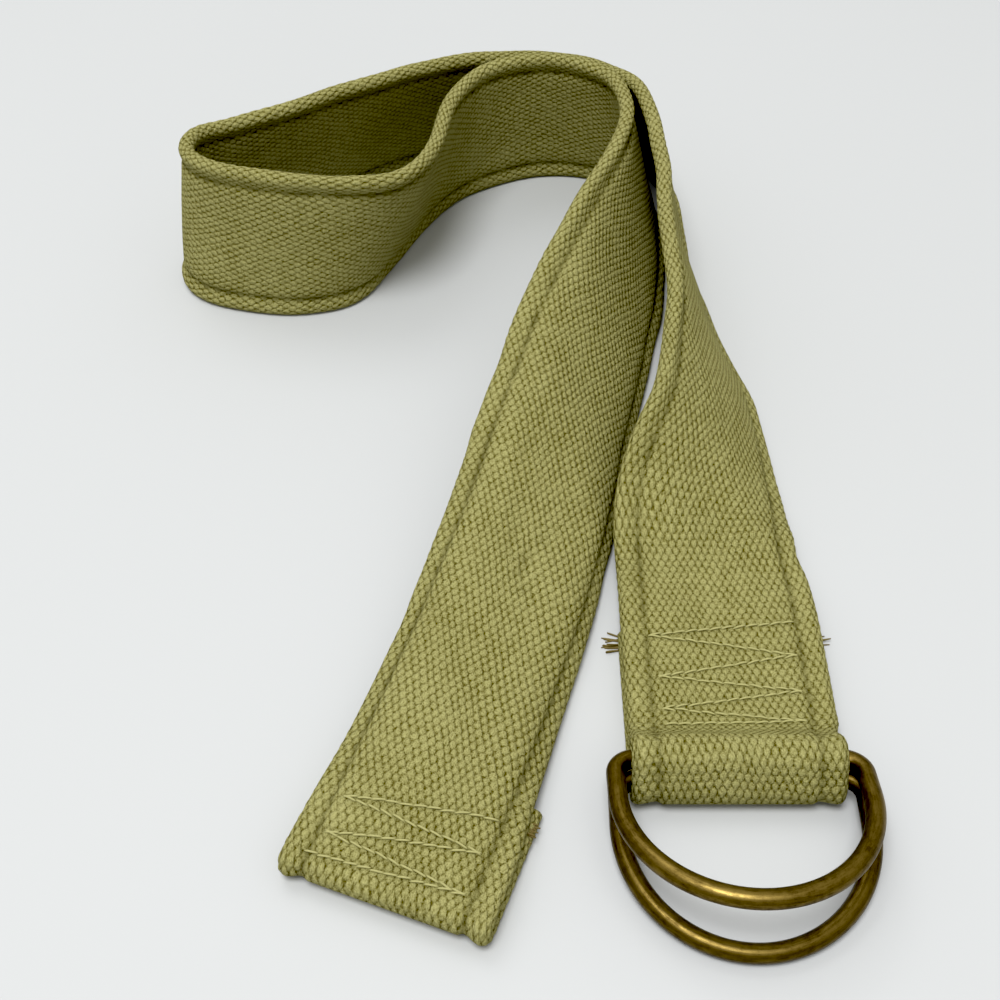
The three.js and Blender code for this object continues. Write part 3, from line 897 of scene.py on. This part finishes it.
# Cut yarns: how far inside the edge they start, how low they may lie, and their thickness
YARN_ROOT = 1.5
YARN_FLOOR = 0.15
YARN_RADII = (0.13, 0.21)
YARN_TAPER = (1, 1, 1.05, 1, 1.05, 0.95, 0.6)
THREAD_SIDES = 6


def tube(path, radius, taper):
    """Points and faces of a round thread along a path."""
    path = np.asarray(path, float)
    sides = THREAD_SIDES
    run = unit(np.gradient(path, axis=0))
    side = unit(np.cross(run, np.array([0.3, 0.2, 1.0])))
    up = np.cross(side, run)
    points, faces = [], []
    for i in range(len(path)):
        r = radius * taper[i]
        for k in range(sides):
            a = 2 * math.pi * k / sides
            points.append(path[i] + side[i] * r * math.cos(a) + up[i] * r * math.sin(a))
    for i in range(len(path) - 1):
        for k in range(sides):
            n = (k + 1) % sides
            faces.append((i * sides + k, i * sides + n, (i + 1) * sides + n, (i + 1) * sides + k))
    faces.append(tuple(range(sides))[::-1])
    faces.append(tuple((len(path) - 1) * sides + k for k in range(sides)))
    return points, faces


def join_tubes(name, tubes, material):
    """One object of many threads."""
    if not tubes:
        raise ValueError(f"{name} has no threads")
    points, faces = [], []
    for more, its in tubes:
        base = len(points)
        points.extend(more)
        faces.extend(tuple(base + i for i in f) for f in its)
    return mesh_object(name, to_row(points), faces, material)


def seam_tubes(strip, corners, along_of, face, seed):
    """Stitches along a zigzag: each rises from the cloth, lies on it and dips in again."""
    rng = np.random.default_rng(seed)
    tubes = []
    for (u0, v0), (u1, v1) in zip(corners, corners[1:]):
        length = math.hypot(u1 - u0, v1 - v0)
        count = max(2, round(length / STITCH))
        for k in range(count):
            a, b = (k - 0.04) / count, (k + 1.02) / count
            sway = rng.normal(0, 0.10, 2) + STITCH_SLANT
            path = []
            for j in range(len(STITCH_TAPER)):
                t = j / (len(STITCH_TAPER) - 1)
                share = a + (b - a) * t
                lift = STITCH_RISE * math.sin(math.pi * t) ** 0.6 - STITCH_SINK
                path.append(surface_point(
                    strip, along_of(v0 + (v1 - v0) * share + sway[0] * (1 - t) + sway[1] * t),
                    u0 + (u1 - u0) * share, face, lift))
            tubes.append(tube(path, THREAD_RADIUS, STITCH_TAPER))
    return tubes


class BELT_OT_stitching(bpy.types.Operator):
    """Sew the zigzag seams on both ends"""

    bl_idname = "belt.stitching"
    bl_label = "Sew Seams"

    def execute(self, context):
        strip = strip_now(context)
        thread = thread_material("seam_thread", context.scene.belt_webbing.thread)
        start = strip.fold_length
        ring_end = seam_tubes(strip, [(-u, v) for u, v in RING_END_SEAM],
                              lambda v: start + v, face=1, seed=11)
        made = join_tubes("ring_end_seam", ring_end, thread)
        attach(made, "webbing")
        end = start + strip.strand_length
        tail = seam_tubes(strip, [(-u, v) for u, v in TAIL_END_SEAM],
                          lambda v: end - v, face=-1, seed=12)
        made = join_tubes("tail_end_seam", tail, thread)
        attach(made, "webbing")
        return {"FINISHED"}


def tuft(strip, along, across, count, length, spread, seed):
    """Loose yarn ends that stick out sideways past an edge of the strip."""
    rng = np.random.default_rng(seed)
    _, run, over, _ = strip.frame_arrays
    k = int(np.clip(np.searchsorted(strip.alongs, along), 1, len(strip.alongs) - 1))
    side = np.sign(across)
    tubes = []
    for _ in range(count):
        root = surface_point(strip, along + rng.uniform(-1, 1) * spread,
                             across - side * YARN_ROOT, face=1, lift=0.0)
        aim = over[k] * side + run[k] * rng.normal(0, 0.16) + np.array([0, 0, rng.normal(0, 0.10)])
        aim /= np.linalg.norm(aim)
        curl = np.cross(aim, rng.normal(0, 1, 3)) * rng.uniform(0.1, 0.5)
        reach = length * rng.uniform(0.55, 1.0) + YARN_ROOT
        path = [root + aim * reach * t + curl * t * t * 1.2
                for t in np.linspace(0, 1, len(YARN_TAPER))]
        path = [np.array([p[0], p[1], max(p[2], YARN_FLOOR)]) for p in path]
        tubes.append(tube(path, rng.uniform(*YARN_RADII), YARN_TAPER))
    return tubes


class BELT_OT_frayed_ends(bpy.types.Operator):
    """Add the cut yarn ends that show past the edges"""

    bl_idname = "belt.frayed_ends"
    bl_label = "Add Frayed Ends"

    def execute(self, context):
        strip = strip_now(context)
        yarn = thread_material("loose_yarn", context.scene.belt_webbing.loose_yarn)
        half = strip.width / 2
        tongue = tuft(strip, along=1.5, across=half - 0.4, count=15, length=3.6, spread=1.5,
                      seed=3)
        tongue += tuft(strip, along=1.0, across=-half + 0.9, count=6, length=4.4, spread=1.0,
                       seed=4)
        made = join_tubes("tongue_fray", tongue, yarn)
        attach(made, "webbing")
        tail = tuft(strip, along=strip.alongs[-1] - 4.4, across=-half + 1.4, count=16,
                    length=2.2, spread=1.6, seed=5)
        made = join_tubes("tail_fray", tail, yarn)
        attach(made, "webbing")
        return {"FINISHED"}


WIRE_SIDES = 28
CORNER_POINTS = 10
BOW_POINTS = 91
BAR_POINTS = 22


def ring_path(settings):
    """The D of the wire's middle line: its bar along X through the origin, its bow at -Y."""
    half = (settings.width - settings.wire) * MM / 2
    depth = (settings.depth - settings.wire) * MM
    corner = settings.corner * MM
    start = corner + settings.arm * MM
    if corner >= half or start >= depth:
        raise ValueError("the ring is too small for its corners and arms")
    path = []
    for a in np.radians(np.linspace(90, 0, CORNER_POINTS)):
        path.append((half - corner + corner * math.cos(a), corner * math.sin(a) - corner))
    for a in np.radians(np.linspace(0, 180, BOW_POINTS)):
        path.append((half * math.cos(a), -start - (depth - start) * math.sin(a)))
    for a in np.radians(np.linspace(180, 90, CORNER_POINTS)):
        path.append((corner - half + corner * math.cos(a), corner * math.sin(a) - corner))
    straight = np.linspace(path[-1][0], path[0][0], BAR_POINTS)[1:-1]
    return np.array(path + [(x, 0.0) for x in straight])


class BELT_OT_rings(bpy.types.Operator):
    """Build both rings as smooth wire with an antique brass finish"""

    bl_idname = "belt.rings"
    bl_label = "Build Rings"

    def execute(self, context):
        settings = context.scene.belt_rings
        radius = settings.wire * MM / 2
        joints = {j["name"]: j["pos_m"] for j in frame["joints"]}
        height = joints["lower_ring_swing"][2] * MM
        drop = math.asin((height - radius) / ((settings.depth - settings.wire) * MM))
        path = ring_path(settings)
        count, sides = len(path), WIRE_SIDES
        run = unit(np.roll(path, -1, 0) - np.roll(path, 1, 0))
        side = np.stack([-run[:, 1], run[:, 0]], 1)
        along = lengths_along(np.vstack([path, path[:1]]))
        turns = 2 * math.pi * np.arange(sides) / sides
        # The lower ring gets painted shade: both brass colours darkened to three quarters
        for name, lift, seed, painted_shade_factor in (("upper", settings.lift, 0.0, 1.0),
                                       ("lower", -drop, 31.0, 0.75)):
            flat = path[:, None, :] + side[:, None, :] * (radius * np.cos(turns))[None, :, None]
            high = np.broadcast_to(radius * np.sin(turns), flat.shape[:2])
            y = flat[..., 1] * math.cos(lift) + high * math.sin(lift)
            z = high * math.cos(lift) - flat[..., 1] * math.sin(lift)
            points = np.stack([flat[..., 0], y, z], -1).reshape(-1, 3)
            faces, uvs = [], []
            for i in range(count):
                j = (i + 1) % count
                for k in range(sides):
                    n = (k + 1) % sides
                    faces.append((i * sides + k, i * sides + n, j * sides + n, j * sides + k))
                    u0 = radius * 2 * math.pi * k / sides
                    u1 = radius * 2 * math.pi * (k + 1) / sides
                    uvs.append(((u0, along[i]), (u1, along[i]), (u1, along[i + 1]),
                                (u0, along[i + 1])))
            at = np.array(joints[name + "_ring_swing"])
            brass = brass_material(name + "_brass", seed, painted_shade_factor, settings.patina, settings.worn)
            made = mesh_object(name + "_ring_wire", points / MM + at, faces, brass, uvs,
                               layer_name="wire")
            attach(made, name + "_ring")
            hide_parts(name + "_ring")
        return {"FINISHED"}


BLACK_LEVEL = 0.022
WORLD_LOW = (0.25, 0.24, 0.215)
WORLD_HIGH = (0.80, 0.79, 0.755)
# Soft panels: name, place and disk size in metres, power in watts
PANELS = (
    ("key_panel", (-0.20, -0.45, 1.6), 0.70, 20.5),
    ("back_panel", (-0.4, 0.7, 1.4), 0.9, 4.0),
)
# From the start of the strand to the lens, in millimetres: to the left, and to the front
CAMERA_LEFT = 42.0
CAMERA_FRONT = 142.6
SENSOR_WIDTH = 36


class BELT_OT_stage(bpy.types.Operator):
    """Set the pale surface, the soft light and the camera"""

    bl_idname = "belt.stage"
    bl_label = "Set Stage"

    def execute(self, context):
        settings = context.scene.belt_stage
        if settings.camera_height <= 0:
            raise ValueError("the camera has to stand above the surface")
        side = settings.floor_size / 2
        floor = mesh_object("floor", [(-side, -side, 0), (side, -side, 0), (side, side, 0),
                                      (-side, side, 0)], [(0, 1, 2, 3)],
                            floor_material("pale_surface", settings.floor_dim,
                                           settings.floor_pale), smooth=False)

        view = context.scene.view_settings
        view.view_transform = "Standard"
        view.use_curve_mapping = True
        view.curve_mapping.black_level = (BLACK_LEVEL, BLACK_LEVEL, BLACK_LEVEL)
        view.curve_mapping.update()
        world = bpy.data.worlds.new("studio")
        context.scene.world = world
        world.use_nodes = True
        background = world.node_tree.nodes["Background"]
        nodes = Socket(world.node_tree, None)
        _, _, upward = nodes.node("ShaderNodeTexCoord", out="Generated").parts()
        overhead = upward.smooth(-0.1, 0.9)
        nodes.put(background.inputs["Color"],
                  overhead.mix_colour(rgba(WORLD_LOW), rgba(WORLD_HIGH)))

        for name, place, size, power in PANELS:
            lamp = bpy.data.lights.new(name, "AREA")
            lamp.shape = "DISK"
            lamp.size = size
            lamp.energy = power
            holder = bpy.data.objects.new(name, lamp)
            holder.location = place
            holder.rotation_euler = (-Vector(place)).to_track_quat("-Z", "Y").to_euler()
            context.scene.collection.objects.link(holder)

        lens = bpy.data.cameras.new("camera")
        lens.lens = settings.lens
        lens.sensor_width = SENSOR_WIDTH
        lens.dof.use_dof = False
        camera = bpy.data.objects.new("camera", lens)
        shift = to_row.shift
        camera.location = ((shift[0] - CAMERA_LEFT) / MM, (shift[1] - CAMERA_FRONT) / MM,
                           settings.camera_height)
        camera.rotation_euler = (math.pi / 2 - settings.camera_pitch, 0, 0)
        context.scene.collection.objects.link(camera)
        context.scene.camera = camera
        return {"FINISHED"}


class BELT_PT_sidebar(bpy.types.Panel):
    """Belt sizes and steps"""

    bl_label = "Double Ring Belt"
    bl_space_type = "VIEW_3D"
    bl_region_type = "UI"
    bl_category = "Belt"

    def draw(self, context):
        column = self.layout.column()
        for group in (context.scene.belt_webbing, context.scene.belt_rings,
                      context.scene.belt_stage):
            for name in group.__annotations__:
                column.prop(group, name)
        for step in STEPS:
            column.operator(step.bl_idname)


STEPS = (BELT_OT_webbing, BELT_OT_stitching, BELT_OT_frayed_ends, BELT_OT_rings, BELT_OT_stage)
CLASSES = (WebbingSettings, RingSettings, StageSettings, *STEPS, BELT_PT_sidebar)


def register():
    for item in CLASSES:
        bpy.utils.register_class(item)
    bpy.types.Scene.belt_webbing = bpy.props.PointerProperty(type=WebbingSettings)
    bpy.types.Scene.belt_rings = bpy.props.PointerProperty(type=RingSettings)
    bpy.types.Scene.belt_stage = bpy.props.PointerProperty(type=StageSettings)


def unregister():
    del bpy.types.Scene.belt_stage
    del bpy.types.Scene.belt_rings
    del bpy.types.Scene.belt_webbing
    for item in reversed(CLASSES):
        bpy.utils.unregister_class(item)


def main():
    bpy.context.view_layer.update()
    register()
    bpy.ops.belt.webbing()
    bpy.ops.belt.stitching()
    bpy.ops.belt.frayed_ends()
    bpy.ops.belt.rings()
    bpy.ops.belt.stage()


if __name__ == "__main__":
    main()
